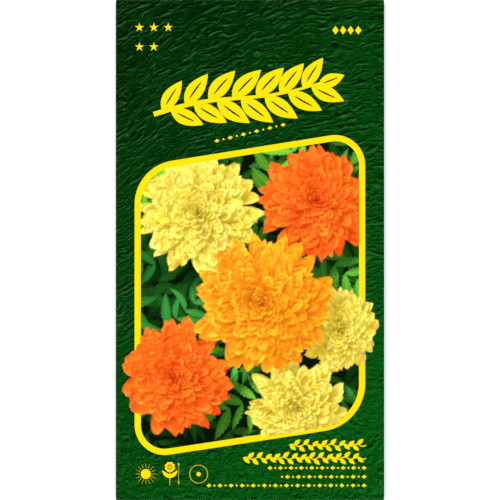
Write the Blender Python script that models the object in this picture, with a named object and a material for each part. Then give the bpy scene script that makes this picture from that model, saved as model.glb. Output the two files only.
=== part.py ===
"""A printed paper seed packet, lying on its back with its front up, and the loose seeds inside it.

One sheet of paper makes the whole packet. Its front panel folds round both long edges into two back
wings, which overlap at a glued seam down the middle of the back. A flap at each end folds round the end
and is glued over the wings. The seeds lie in a thin heap in the lower middle, which swells the packet.

X runs across the packet, Y up it and Z out of its front. The origin is under its middle, on the surface
that it lies on.
"""

import math
import random

import bmesh
import bpy
from mathutils import Matrix, Vector

MM = 0.001

# The packet's outline
WIDTH = 80.0 * MM
HEIGHT = 149.3 * MM

# The sheet, and the layers where it is glued to itself
PAPER = 0.15 * MM
GLUE = 0.10 * MM
GAP = 0.25 * MM
LAYER = PAPER + GLUE + 2 * GAP  # from the middle of one sheet to the middle of the next, glue between

# The folds. A nose is how far a fold's middle line bulges past its fold line
SIDE_NOSE = 0.30 * MM
END_NOSE = 0.50 * MM
SIDE_OPEN = 0.60 * MM  # from the back wing to the front panel at a long edge
NOTCH = 0.60 * MM  # cut out of the sheet at each corner, so that the folds clear each other
SIDE_FOLD = WIDTH / 2 - PAPER / 2 - SIDE_NOSE
END_FOLD = HEIGHT / 2 - PAPER / 2 - END_NOSE

# The flaps
FLAP_DEPTH = 14.0 * MM
FLAP_TAPER = 3.0 * MM  # narrower by this at each side of its free edge
FLAP_CORNER = 4.0 * MM

# The back seam
LAP = 12.0 * MM
LAP_RAMP = 8.0 * MM  # where the inner wing climbs onto the outer one
SEAM_GLUE_WIDTH = 8.0 * MM
SEAM_GLUE_END = 16.0 * MM  # the seam's glue stops this far from each end of the packet
FLAP_GLUE_LENGTH = 52.0 * MM
FLAP_GLUE_WIDTH = 7.0 * MM
FLAP_GLUE_EDGE = 3.0 * MM  # from the flap's free edge to its glue

# Heights of the sheet's middle surface
FLAP_Z = PAPER / 2
WING_RIM_Z = FLAP_Z + LAYER
FRONT_RIM_Z = WING_RIM_Z + SIDE_OPEN
BACK_CLEAR = 0.05 * MM  # the sagging back stays this far above what the flaps lie on
BACK_SAG = WING_RIM_Z - PAPER / 2 - BACK_CLEAR
SIDE_BAND = 14.0 * MM  # the back sags over this width inside each long edge
END_BAND = 16.0 * MM  # and over this length inside each flap
FLAT_END = HEIGHT / 2 - FLAP_DEPTH - 1.0 * MM

# The swell of the front
END_PUFF = 0.65 * MM
BODY_PUFF = 2.30 * MM
PUFF_Y = -18.0 * MM

# How finely the sheet is split
ACROSS = 14
ALONG = 24
WING_ACROSS = 8
FLAP_ROWS = 3
BEND_STEPS = 5

# The seeds: slender, a little flattened, with a flared tuft
SEEDS = 40
SEED_LENGTH = 11.2 * MM
SEED_SIDES = 6
SEED_RINGS = (
    # along the seed, half width and half thickness, in mm
    (0.0, 0.16, 0.14),
    (1.2, 0.38, 0.30),
    (4.2, 0.52, 0.38),
    (7.0, 0.48, 0.36),
    (8.0, 0.34, 0.26),
    (9.4, 0.48, 0.20),
    (11.2, 0.74, 0.12),
)
SEED_HALF_THICK = 0.38 * MM
SEED_CLEAR = 0.30 * MM
SEED_SHORTEST = 0.9  # the shortest seed's share of the full length
SEED_BOW = 0.5 * MM
SEED_STEPS = 16
HEAP_CENTRE = (0.0, -23.0 * MM)
HEAP_REACH = (22.0 * MM, 20.0 * MM)
HEAP_TRIES = 8
HEAP_SEED = 7


def smooth(low, high, value):
    """0 below low, 1 above high, and an even slope between that starts and ends level."""
    share = min(1.0, max(0.0, (value - low) / (high - low)))
    return share * share * (3 - 2 * share)


def outer_wing_z(x, y):
    """The middle of the wing that lies outermost on the back. It is held up at the rims by the flaps."""
    across = smooth(0, SIDE_BAND, WIDTH / 2 - abs(x))
    along = smooth(0, END_BAND, FLAT_END - abs(y))
    return WING_RIM_Z - BACK_SAG * across * along


def inner_wing_z(x, y):
    """The middle of the wing that starts at the left edge and ends on top of the other one."""
    ramp_end = -LAP / 2 - 2 * PAPER
    return outer_wing_z(x, y) + LAYER * smooth(ramp_end - LAP_RAMP, ramp_end, x)


def front_z(x, y):
    """The middle of the front panel: a shallow pillow, fullest over the seeds."""
    u = x / (WIDTH / 2)
    reach = HEIGHT / 2 - PUFF_Y if y > PUFF_Y else HEIGHT / 2 + PUFF_Y
    v = (y - PUFF_Y) / reach
    ends = END_PUFF * (1 - u**4)
    body = BODY_PUFF * (1 - u * u) * max(0.0, 1 - v * v) ** 1.5
    return FRONT_RIM_Z + ends + body


def spread(low, high, count):
    """count + 1 even steps from low to high."""
    return [low + (high - low) * i / count for i in range(count + 1)]


def bend(angle, top, bottom, nose):
    """A point on a half-round fold: how far out it is, and its height."""
    middle = (top + bottom) / 2
    half = (top - bottom) / 2
    return nose * math.sin(angle), middle + half * math.cos(angle)


def flap_half_width(depth):
    """Half the flap's width at a depth below its fold: tapered, with rounded free corners."""
    half = SIDE_FOLD - NOTCH - FLAP_TAPER * depth / FLAP_DEPTH
    into_corner = max(0.0, depth - (FLAP_DEPTH - FLAP_CORNER))
    return half - FLAP_CORNER + math.sqrt(max(0.0, FLAP_CORNER**2 - into_corner**2))


def add_patch(mesh, rows):
    """Adds a grid of faces from rows of points."""
    made = [[mesh.verts.new(point) for point in row] for row in rows]
    for low, high in zip(made, made[1:]):
        for i in range(len(low) - 1):
            mesh.faces.new((low[i], low[i + 1], high[i + 1], high[i]))


def packet_sheet(mesh):
    """The folded sheet's middle surface, as patches that meet along the folds."""
    side_rows = spread(-(END_FOLD - NOTCH), END_FOLD - NOTCH, ALONG)
    front_rows = [-END_FOLD, *side_rows, END_FOLD]
    flap_columns = spread(-(SIDE_FOLD - NOTCH), SIDE_FOLD - NOTCH, ACROSS)
    front_columns = [-SIDE_FOLD, *flap_columns, SIDE_FOLD]
    angles = spread(0, math.pi, BEND_STEPS)
    add_patch(mesh, [[(x, y, front_z(x, y)) for x in front_columns] for y in front_rows])

    for side, wing_z, free_edge in ((-1, inner_wing_z, LAP / 2), (1, outer_wing_z, -LAP / 2)):
        fold_rows = []
        for y in side_rows:
            top = front_z(side * SIDE_FOLD, y)
            bottom = wing_z(side * SIDE_FOLD, y)
            steps = [bend(angle, top, bottom, SIDE_NOSE) for angle in angles]
            fold_rows.append([(side * (SIDE_FOLD + out), y, z) for out, z in steps])
        add_patch(mesh, fold_rows)
        to_ramp = spread(side * SIDE_FOLD, side * (LAP / 2 + LAP_RAMP), WING_ACROSS // 2)
        past_ramp = spread(side * (LAP / 2 + LAP_RAMP), free_edge, WING_ACROSS)
        columns = [*to_ramp, *past_ramp[1:]]
        add_patch(mesh, [[(x, y, wing_z(x, y)) for x in columns] for y in side_rows])

    for end in (-1, 1):
        fold_rows = []
        for angle in angles:
            row = []
            for x in flap_columns:
                out, z = bend(angle, front_z(x, end * END_FOLD), FLAP_Z, END_NOSE)
                row.append((x, end * (END_FOLD + out), z))
            fold_rows.append(row)
        add_patch(mesh, fold_rows)
        to_corner = spread(0, FLAP_DEPTH - FLAP_CORNER, FLAP_ROWS)
        round_corner = [
            FLAP_DEPTH - FLAP_CORNER * (1 - math.sin(angle))
            for angle in spread(0, math.radians(80), FLAP_ROWS)
        ]
        widest = SIDE_FOLD - NOTCH
        flap_rows = []
        for depth in [*to_corner, *round_corner[1:]]:
            narrowed = flap_half_width(depth) / widest
            flap_rows.append([(x * narrowed, end * (END_FOLD - depth), FLAP_Z) for x in flap_columns])
        add_patch(mesh, flap_rows)


def material(name, colour, roughness):
    """A plain surface of one colour, which is given as linear red, green and blue."""
    made = bpy.data.materials.new(name)
    made.use_nodes = True
    surface = made.node_tree.nodes["Principled BSDF"]
    surface.inputs["Base Color"].default_value = (*colour, 1)
    surface.inputs["Roughness"].default_value = roughness
    surface.inputs["Metallic"].default_value = 0.0
    return made


def new_object(name, mesh, surface):
    """A named object from a bmesh, which is then freed."""
    data = bpy.data.meshes.new(name)
    mesh.to_mesh(data)
    mesh.free()
    data.shade_smooth()
    data.set_sharp_from_angle(angle=math.radians(50))
    data.materials.append(surface)
    made = bpy.data.objects.new(name, data)
    bpy.context.scene.collection.objects.link(made)
    return made


def thicken(made, thickness):
    """Gives a middle surface its thickness, half to each side."""
    solid = made.modifiers.new("thickness", "SOLIDIFY")
    solid.thickness = thickness
    solid.offset = 0
    solid.use_even_offset = True


def make_packet_paper(surface):
    """The one sheet of the packet. Each face is split before it is thickened, so both sides match."""
    mesh = bmesh.new()
    packet_sheet(mesh)
    bmesh.ops.remove_doubles(mesh, verts=mesh.verts, dist=MM / 1000)
    bmesh.ops.recalc_face_normals(mesh, faces=mesh.faces)
    bmesh.ops.triangulate(mesh, faces=mesh.faces, quad_method="FIXED")
    made = new_object("packet_paper", mesh, surface)
    thicken(made, PAPER)


def make_glue_strip(name, surface, columns, rows, height):
    """A thin film of set glue, whose middle lies at height(x, y)."""
    mesh = bmesh.new()
    add_patch(mesh, [[(x, y, height(x, y)) for x in columns] for y in rows])
    bmesh.ops.recalc_face_normals(mesh, faces=mesh.faces)
    bmesh.ops.triangulate(mesh, faces=mesh.faces, quad_method="FIXED")
    made = new_object(name, mesh, surface)
    thicken(made, GLUE)


def make_glue(surface):
    """The seam's strip between the two wings, and a strip under each flap."""
    half = SEAM_GLUE_WIDTH / 2
    end = HEIGHT / 2 - SEAM_GLUE_END
    make_glue_strip(
        "glue_back_seam",
        surface,
        spread(-half, half, 2),
        spread(-end, end, ALONG),
        lambda x, y: outer_wing_z(x, y) + LAYER / 2,
    )
    for name, end in (("glue_bottom_flap", -1), ("glue_top_flap", 1)):
        inner = END_FOLD - FLAP_DEPTH + FLAP_GLUE_EDGE
        make_glue_strip(
            name,
            surface,
            spread(-FLAP_GLUE_LENGTH / 2, FLAP_GLUE_LENGTH / 2, 4),
            [end * inner, end * (inner + FLAP_GLUE_WIDTH)],
            lambda x, y: FLAP_Z + LAYER / 2,
        )


def seed_bow(share, bow):
    """How far the seed's middle line stands aside at a share of its length."""
    return bow * (1 - (2 * share - 1) ** 2)


def seed_mesh(length, bow):
    """A seed along +X with its middle at the origin: rings of points, skinned and capped."""
    mesh = bmesh.new()
    stretch = length / SEED_LENGTH
    rings = []
    for along, half_width, half_thick in SEED_RINGS:
        share = along * MM / SEED_LENGTH
        ring = []
        for i in range(SEED_SIDES):
            angle = 2 * math.pi * i / SEED_SIDES
            across = half_width * MM * math.cos(angle) + seed_bow(share, bow)
            up = half_thick * MM * math.sin(angle)
            ring.append(mesh.verts.new((along * MM * stretch - length / 2, across, up)))
        rings.append(ring)
    for near, far in zip(rings, rings[1:]):
        for i in range(SEED_SIDES):
            j = (i + 1) % SEED_SIDES
            mesh.faces.new((near[i], near[j], far[j], far[i]))
    mesh.faces.new(rings[0])
    mesh.faces.new(rings[-1])
    bmesh.ops.recalc_face_normals(mesh, faces=mesh.faces)
    bmesh.ops.triangulate(mesh, faces=mesh.faces)
    return mesh


def seed_section(share):
    """Half the seed's width and half its thickness at a share of its length, read between its rings."""
    along = share * SEED_LENGTH / MM
    for near, far in zip(SEED_RINGS, SEED_RINGS[1:]):
        if along < far[0]:
            part = (along - near[0]) / (far[0] - near[0])
            return [(a + (b - a) * part) * MM for a, b in zip(near[1:], far[1:])]
    return [size * MM for size in SEED_RINGS[-1][1:]]


def floor_z(x, y, half_width):
    """The top of the paper under a seed, read wide enough to clear the inner wing's free edge."""
    heights = []
    for aside in (-half_width, 0, half_width):
        at = x + aside
        wing_z = inner_wing_z if at < LAP / 2 + SEED_CLEAR else outer_wing_z
        heights.append(wing_z(at, y))
    return max(heights) + PAPER / 2


def seed_line(x, y, angle, length, bow):
    """Points along a lying seed's middle line, seen from above, each with its half width and thickness."""
    points = []
    for share in spread(0, 1, SEED_STEPS):
        along = (share - 0.5) * length
        aside = seed_bow(share, bow)
        right = x + along * math.cos(angle) - aside * math.sin(angle)
        up = y + along * math.sin(angle) + aside * math.cos(angle)
        points.append((Vector((right, up)), *seed_section(share)))
    return points


def resting_z(line, lying):
    """The height at which a seed that is let down flat comes to rest on the paper or on other seeds."""
    height = 0
    for point, half_width, half_thick in line:
        height = max(height, floor_z(*point, half_width) + SEED_CLEAR + half_thick)
        for other_line, other_z in lying:
            for other_point, other_width, other_thick in other_line:
                if (point - other_point).length < half_width + other_width + SEED_CLEAR:
                    height = max(height, other_z + other_thick + half_thick + SEED_CLEAR)
    return height


def seed_places():
    """Where each seed lies: let down one by one, each at the lowest of a few places tried at random."""
    draw = random.Random(HEAP_SEED)
    lying = []
    places = []
    while len(places) < SEEDS:
        found = []
        for _ in range(HEAP_TRIES):
            turn = draw.uniform(0, 2 * math.pi)
            out = math.sqrt(draw.random())
            x = HEAP_CENTRE[0] + HEAP_REACH[0] * out * math.cos(turn)
            y = HEAP_CENTRE[1] + HEAP_REACH[1] * out * math.sin(turn)
            angle = draw.uniform(0, 2 * math.pi)
            length = SEED_LENGTH * draw.uniform(SEED_SHORTEST, 1)
            bow = draw.uniform(-SEED_BOW, SEED_BOW)
            line = seed_line(x, y, angle, length, bow)
            z = resting_z(line, lying)
            roof = min(front_z(*point) for point, _, _ in line) - PAPER / 2
            if z + SEED_HALF_THICK + SEED_CLEAR < roof:
                found.append(((x, y, z, angle, length, bow), line))
        if found:
            place, line = min(found, key=lambda one: one[0][2])
            lying.append((line, place[2]))
            places.append(place)
    return places


def make_seeds(surface):
    """The loose seeds, each an object of its own."""
    for number, (x, y, z, angle, length, bow) in enumerate(seed_places(), start=1):
        made = new_object(f"seed_{number:02d}", seed_mesh(length, bow), surface)
        made.matrix_world = Matrix.Translation((x, y, z)) @ Matrix.Rotation(angle, 4, "Z")


for old in list(bpy.data.objects):
    bpy.data.objects.remove(old)
make_packet_paper(material("packet_paper", (0.004, 0.045, 0.007), 0.4))
make_glue(material("glue", (0.78, 0.74, 0.60), 0.45))
make_seeds(material("seed", (0.035, 0.024, 0.016), 0.6))
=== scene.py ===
"""A printed paper seed packet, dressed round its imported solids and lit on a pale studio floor.

The packet lies on its back. +X is to the right of its printed front, +Y towards its top edge and +Z out
of the front. Lengths are in metres.
"""

import math

import bmesh
import bpy
import numpy as np
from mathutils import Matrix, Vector
from mathutils.bvhtree import BVHTree
from mathutils.geometry import delaunay_2d_cdt
from mathutils.kdtree import KDTree


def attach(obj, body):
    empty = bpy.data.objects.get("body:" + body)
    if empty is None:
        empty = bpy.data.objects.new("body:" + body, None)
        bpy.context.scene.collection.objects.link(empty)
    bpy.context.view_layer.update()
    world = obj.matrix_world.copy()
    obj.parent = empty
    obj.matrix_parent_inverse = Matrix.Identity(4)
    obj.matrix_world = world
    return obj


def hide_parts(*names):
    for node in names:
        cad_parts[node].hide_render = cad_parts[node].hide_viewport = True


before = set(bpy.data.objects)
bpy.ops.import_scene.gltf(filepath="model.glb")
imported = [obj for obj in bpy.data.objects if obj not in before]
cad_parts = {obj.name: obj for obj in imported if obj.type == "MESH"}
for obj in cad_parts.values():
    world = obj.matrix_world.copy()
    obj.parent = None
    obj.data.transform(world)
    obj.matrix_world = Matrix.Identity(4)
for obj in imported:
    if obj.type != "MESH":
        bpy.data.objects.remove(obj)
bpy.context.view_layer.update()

# The studio. The camera stands straight above the packet, which fills the picture from top to bottom.
# Four large soft lights stand low round it, out of the line where its satin coat would mirror them. The
# pale floor is a table top that glows a little, so that shadows stay faint, and sweeps up into a rim.
MM = 0.001
PIXEL = 0.298 * MM  # what one pixel of the photograph spans on the packet
PICTURE = 500 * PIXEL
CAMERA_HEIGHT = 1.2
RIM_HEIGHT = 1.2 * MM  # how high the packet's rim stands, where the picture has its scale


def in_scene(name, data):
    """A new object in the scene."""
    made = bpy.data.objects.new(name, data)
    bpy.context.scene.collection.objects.link(made)
    return made


camera_data = bpy.data.cameras.new("straight_above")
camera_data.lens = camera_data.sensor_width * (CAMERA_HEIGHT - RIM_HEIGHT) / PICTURE
camera = in_scene("straight_above", camera_data)
camera.location = (0, 0, CAMERA_HEIGHT)
bpy.context.scene.camera = camera

LIGHT_AWAY = 1.0
LIGHT_ACROSS = 0.55
for name, azimuth, elevation, watts in (
    ("light_upper_left", 135, 42, 5.6),
    ("light_upper_right", 45, 38, 4.3),
    ("light_lower_right", -45, 38, 4.0),
    ("light_lower_left", -135, 38, 4.3),
):
    light = bpy.data.lights.new(name, "AREA")
    light.shape = "DISK"
    light.size = LIGHT_ACROSS
    light.energy = watts
    lamp = in_scene(name, light)
    turn, rise = math.radians(azimuth), math.radians(elevation)
    lamp.location = (
        LIGHT_AWAY * math.cos(turn) * math.cos(rise),
        LIGHT_AWAY * math.sin(turn) * math.cos(rise),
        LIGHT_AWAY * math.sin(rise),
    )
    lamp.rotation_euler = lamp.location.to_track_quat("Z", "Y").to_euler()

world = bpy.data.worlds.new("dim_room")
world.use_nodes = True
room = world.node_tree.nodes["Background"].inputs
room["Color"].default_value = (0.95, 0.97, 1.0, 1)
room["Strength"].default_value = 0.14
bpy.context.scene.world = world
bpy.context.scene.view_settings.view_transform = "Standard"


def put(tree, kind, inputs, **settings):
    """Adds a node. Each named input is given a value, or joined to another node's output."""
    made = tree.nodes.new(kind)
    for name, value in settings.items():
        setattr(made, name, value)
    for socket, value in inputs.items():
        if isinstance(value, bpy.types.NodeSocket):
            tree.links.new(value, made.inputs[socket])
        else:
            made.inputs[socket].default_value = value
    return made


def satin_surface(name, roughness, specular):
    """A new material, its tree and its shader."""
    made = bpy.data.materials.new(name)
    made.use_nodes = True
    shader = made.node_tree.nodes["Principled BSDF"]
    shader.inputs["Roughness"].default_value = roughness
    shader.inputs["Specular IOR Level"].default_value = specular
    return made, made.node_tree, shader


def reckoned_point(tree, operation, place, amount):
    """One step of arithmetic on a point, with another point, or with a number that scales it."""
    other = "Scale" if operation == "SCALE" else 1
    return put(tree, "ShaderNodeVectorMath", {0: place, other: amount}, operation=operation).outputs[0]


def in_mm(tree):
    """The point on the piece, in millimetres."""
    place = put(tree, "ShaderNodeTexCoord", {}).outputs["Object"]
    return reckoned_point(tree, "SCALE", place, 1 / MM)


def speckle(tree, place, scale, detail=2.0, rough=0.5):
    """Noise from 0 to 1, whose grains are 1 / scale across."""
    inputs = {"Vector": place, "Scale": scale, "Detail": detail, "Roughness": rough}
    return put(tree, "ShaderNodeTexNoise", inputs).outputs["Fac"]


def ranged(tree, value, low, high, to_low=0.0, to_high=1.0):
    """A value brought from one range to another, evenly and held inside it."""
    inputs = {"Value": value, "From Min": low, "From Max": high, "To Min": to_low, "To Max": to_high}
    return put(tree, "ShaderNodeMapRange", inputs).outputs[0]


def blend(tree, share, first, second, way="MIX"):
    """A colour between two colours, or one laid on the other. A Mix node's colours are 6, 7 and out at 2."""
    inputs = {"Factor": share, 6: first, 7: second}
    return put(tree, "ShaderNodeMix", inputs, data_type="RGBA", blend_type=way).outputs[2]


def round_turns(count):
    """So many turns, evenly once round."""
    return np.linspace(0, 2 * math.pi, count, endpoint=False)


FLOOR_MIDDLE = 1.2
FLOOR_FLAT = 1.9  # how far out it starts to sweep up
FLOOR_SWEEP = 0.8
FLOOR_Z = -0.01 * MM
FLOOR_SIDES = 64
FLOOR_GLOW = (500, 2200, 0.20, 0.72)  # from how far out to how far, in mm, and from how bright to how bright
floor_profile = [(FLOOR_MIDDLE, 0.0), (FLOOR_FLAT, 0.0)]
for turn in np.linspace(0.15, 1.4, 9):
    rise = FLOOR_SWEEP - FLOOR_SWEEP * math.cos(turn)
    floor_profile.append((FLOOR_FLAT + FLOOR_SWEEP * math.sin(turn), rise))
floor_mesh = bmesh.new()
rings = []
for out, height in floor_profile:
    rings.append([
        floor_mesh.verts.new((out * math.cos(turn), out * math.sin(turn), height + FLOOR_Z))
        for turn in round_turns(FLOOR_SIDES)
    ])
floor_mesh.faces.new(rings[0])
for near, far in zip(rings, rings[1:]):
    for i in range(FLOOR_SIDES):
        j = (i + 1) % FLOOR_SIDES
        floor_mesh.faces.new((near[i], far[i], far[j], near[j]))
floor_data = bpy.data.meshes.new("studio_floor")
floor_mesh.to_mesh(floor_data)
floor_mesh.free()
floor_data.shade_smooth()
floor_paint, tree, shader = satin_surface("pale_floor", 0.9, 0.1)
mottle = speckle(tree, in_mm(tree), 0.004, 3.0)
shade = blend(tree, ranged(tree, mottle, 0.3, 0.7), (0.93, 0.93, 0.93, 1), (0.96, 0.96, 0.96, 1))
tree.links.new(shade, shader.inputs["Base Color"])
shader.inputs["Emission Color"].default_value = (1, 1, 1, 1)
away = put(tree, "ShaderNodeVectorMath", {0: in_mm(tree)}, operation="LENGTH").outputs["Value"]
tree.links.new(ranged(tree, away, *FLOOR_GLOW), shader.inputs["Emission Strength"])
floor_data.materials.append(floor_paint)
studio_floor = in_scene("studio_floor", floor_data)

# The packet's paper. It is one sheet of coated paper, printed green outside and left white inside. The
# front folds round both long edges into two back wings that overlap at a seam, and a flap at each end
# folds over them. It repeats the solid, more finely, with the small puckers of a filled, pressed packet.
WIDTH = 80.0 * MM
HEIGHT = 149.3 * MM
PAPER = 0.15 * MM
LAYER = PAPER + 0.10 * MM + 2 * 0.25 * MM  # from one glued sheet's middle to the next one's
SIDE_NOSE = 0.30 * MM  # how far the round fold of a long edge stands out
END_NOSE = 0.50 * MM  # and that of an end
SIDE_OPEN = 0.60 * MM  # how far apart the front and a wing lie at their fold
NOTCH = 0.60 * MM  # how far from a corner each fold stops
SIDE_FOLD = WIDTH / 2 - PAPER / 2 - SIDE_NOSE
END_FOLD = HEIGHT / 2 - PAPER / 2 - END_NOSE
FLAP_DEPTH = 14.0 * MM
FLAP_TAPER = 3.0 * MM
FLAP_CORNER = 4.0 * MM
LAP = 12.0 * MM  # how far the two wings overlap
LAP_RAMP = 8.0 * MM  # over which one climbs on the other
FLAP_Z = PAPER / 2
WING_RIM_Z = FLAP_Z + LAYER
FRONT_RIM_Z = WING_RIM_Z + SIDE_OPEN
BACK_SAG = WING_RIM_Z - PAPER / 2 - 0.05 * MM  # how far the back's middle hangs below its rim
SIDE_BAND = 14.0 * MM  # how far from a long edge it has sunk so far
END_BAND = 16.0 * MM  # and from the flat stretch over a flap
FLAT_END = HEIGHT / 2 - FLAP_DEPTH - 1.0 * MM
END_PUFF = 0.65 * MM  # how full the front is at its ends
BODY_PUFF = 2.30 * MM  # and how much fuller over the seeds
PUFF_Y = -18.0 * MM
PUCKERS = (
    # at the corner with this sign of x and of y: its angle from the end edge, how deep, how wide
    (-1, 1, 40, -0.075 * MM, 2.4 * MM),
    (-1, 1, 63, 0.055 * MM, 2.0 * MM),
    (1, 1, 48, -0.070 * MM, 2.5 * MM),
    (1, 1, 28, 0.045 * MM, 2.1 * MM),
    (-1, -1, 46, 0.060 * MM, 2.2 * MM),
    (-1, -1, 66, -0.070 * MM, 2.4 * MM),
    (1, -1, 38, -0.075 * MM, 2.4 * MM),
    (1, -1, 58, 0.060 * MM, 2.2 * MM),
)
SIDE_RIPPLE = 0.045 * MM


def smooth(low, high, value):
    """0 below low, 1 above high, and an even slope between that starts and ends level."""
    share = np.clip((value - low) / (high - low), 0.0, 1.0)
    return share * share * (3 - 2 * share)


def outer_wing_z(x, y):
    """The middle of the wing that lies outermost on the back."""
    across = smooth(0, SIDE_BAND, WIDTH / 2 - np.abs(x))
    along = smooth(0, END_BAND, FLAT_END - np.abs(y))
    return WING_RIM_Z - BACK_SAG * across * along


def inner_wing_z(x, y):
    """The middle of the wing that ends on top of the other one."""
    ramp_end = -LAP / 2 - 2 * PAPER
    return outer_wing_z(x, y) + LAYER * smooth(ramp_end - LAP_RAMP, ramp_end, x)


def puckers_z(x, y):
    """Small folds that run in from the corners, and ripples inside the long edges. None at the rim."""
    raised = 0.0
    for side, end, angle, depth, width in PUCKERS:
        right, up = WIDTH / 2 - side * x, HEIGHT / 2 - end * y
        turn = math.radians(angle)
        along = right * math.cos(turn) + up * math.sin(turn)
        aside = right * math.sin(turn) - up * math.cos(turn)
        swell = smooth(3 * MM, 12 * MM, along) * (1 - smooth(16 * MM, 38 * MM, along))
        raised = raised + depth * swell * np.exp(-((aside / (width + 0.05 * along)) ** 2))
    edge = WIDTH / 2 - np.abs(x)
    band = smooth(0, 5 * MM, edge) * (1 - smooth(6 * MM, 15 * MM, edge))
    wave = np.sin(y / (2.3 * MM) + 1.3 * np.sin(y / (9 * MM)) + np.sign(x))
    raised = raised + SIDE_RIPPLE * band * wave
    return raised * smooth(0, 4 * MM, edge) * smooth(0, 5 * MM, HEIGHT / 2 - np.abs(y))


def front_z(x, y):
    """The middle of the front panel: a shallow pillow, fullest over the seeds, with its puckers."""
    u = x / (WIDTH / 2)
    reach = np.where(y > PUFF_Y, HEIGHT / 2 - PUFF_Y, HEIGHT / 2 + PUFF_Y)
    v = (y - PUFF_Y) / reach
    body = BODY_PUFF * (1 - u * u) * np.maximum(0.0, 1 - v * v) ** 1.5
    return FRONT_RIM_Z + END_PUFF * (1 - u**4) + body + puckers_z(x, y)


def fold_line(angles, top, bottom, nose):
    """How far out a half-round fold stands and how high it is, at each angle round it."""
    return nose * np.sin(angles), (top + bottom) / 2 + (top - bottom) / 2 * np.cos(angles)


def flap_half_width(depth):
    """Half the flap's width at a depth below its fold: tapered, with rounded free corners."""
    half = SIDE_FOLD - NOTCH - FLAP_TAPER * depth / FLAP_DEPTH
    into_corner = max(0.0, depth - (FLAP_DEPTH - FLAP_CORNER))
    return half - FLAP_CORNER + math.sqrt(max(0.0, FLAP_CORNER**2 - into_corner**2))


def add_patch(mesh, x, y, z):
    """Adds a grid of faces through points given as rows of x, y and z."""
    grid = np.stack(np.broadcast_arrays(x, y, z), -1)
    made = [[mesh.verts.new(point) for point in row] for row in grid.tolist()]
    for low, high in zip(made, made[1:]):
        for i in range(len(low) - 1):
            mesh.faces.new((low[i], low[i + 1], high[i + 1], high[i]))


ACROSS, ALONG = 78, 146  # how many points the sheet has across its width and up its height,
ROUND_FOLD, OVER_WING = 11, 49  # round a fold and over a wing
FLAP_POINTS = 8  # and down a flap, both before its rounded corners and over them
side_rows = np.linspace(-(END_FOLD - NOTCH), END_FOLD - NOTCH, ALONG)
front_rows = np.array([-END_FOLD, *side_rows, END_FOLD])
flap_columns = np.linspace(-(SIDE_FOLD - NOTCH), SIDE_FOLD - NOTCH, ACROSS)
front_columns = np.array([-SIDE_FOLD, *flap_columns, SIDE_FOLD])
fold_angles = np.linspace(0, math.pi, ROUND_FOLD)

sheet = bmesh.new()
x, y = front_columns[None, :], front_rows[:, None]
add_patch(sheet, x, y, front_z(x, y))
for side, wing_z, free_edge in ((-1, inner_wing_z, LAP / 2), (1, outer_wing_z, -LAP / 2)):
    y = side_rows[:, None]
    top, bottom = front_z(np.array([[side * SIDE_FOLD]]), y), wing_z(np.array([[side * SIDE_FOLD]]), y)
    out, z = fold_line(fold_angles[None, :], top, bottom, SIDE_NOSE)
    add_patch(sheet, side * (SIDE_FOLD + out), y, z)
    x = np.linspace(side * SIDE_FOLD, free_edge, OVER_WING)[None, :]
    add_patch(sheet, x, y, wing_z(x, y))
for end in (-1, 1):
    x = flap_columns[None, :]
    out, z = fold_line(fold_angles[:, None], front_z(x, np.array([[end * END_FOLD]])), FLAP_Z, END_NOSE)
    add_patch(sheet, x, end * (END_FOLD + out), z)
    round_corner = FLAP_DEPTH - FLAP_CORNER * (1 - np.sin(np.radians(np.linspace(0, 80, FLAP_POINTS))))
    depths = np.array([*np.linspace(0, FLAP_DEPTH - FLAP_CORNER, FLAP_POINTS), *round_corner[1:]])
    narrowed = np.array([flap_half_width(depth) for depth in depths])[:, None] / (SIDE_FOLD - NOTCH)
    add_patch(sheet, x * narrowed, end * (END_FOLD - depths[:, None]), FLAP_Z)
# Each corner is tucked square: the upper halves of the two folds are drawn out to meet there.
upper_half = fold_angles[: len(fold_angles) // 2 + 1]
for side, wing_z in ((-1, inner_wing_z), (1, outer_wing_z)):
    for end in (-1, 1):
        x, y = np.array([side * SIDE_FOLD]), np.array([end * (END_FOLD - NOTCH)])
        out, z = fold_line(upper_half, front_z(x, y), wing_z(x, y), SIDE_NOSE)
        x, y = np.array([side * (SIDE_FOLD - NOTCH)]), np.array([end * END_FOLD])
        out_end, z_end = fold_line(upper_half, front_z(x, y), FLAP_Z, END_NOSE)
        z_corner = front_z(side * SIDE_FOLD, end * END_FOLD) + (z - z[0] + z_end - z_end[0]) / 2
        near = np.full_like(out, NOTCH)
        add_patch(
            sheet,
            side * (SIDE_FOLD + np.stack([out, 0.9 * out, -near])),
            end * (END_FOLD + np.stack([-near, 0.9 * out_end, out_end])),
            np.stack([z, z_corner, z_end]),
        )
bmesh.ops.remove_doubles(sheet, verts=sheet.verts, dist=MM / 1000)
bmesh.ops.recalc_face_normals(sheet, faces=sheet.faces)
sheet.faces.ensure_lookup_table()
middle = min(sheet.faces, key=lambda face: (face.calc_center_median() - Vector((0, 0, 1))).length)
if middle.normal.z < 0:
    bmesh.ops.reverse_faces(sheet, faces=sheet.faces)
sheet_data = bpy.data.meshes.new("packet_paper_printed")
sheet.to_mesh(sheet_data)
sheet.free()

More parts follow.
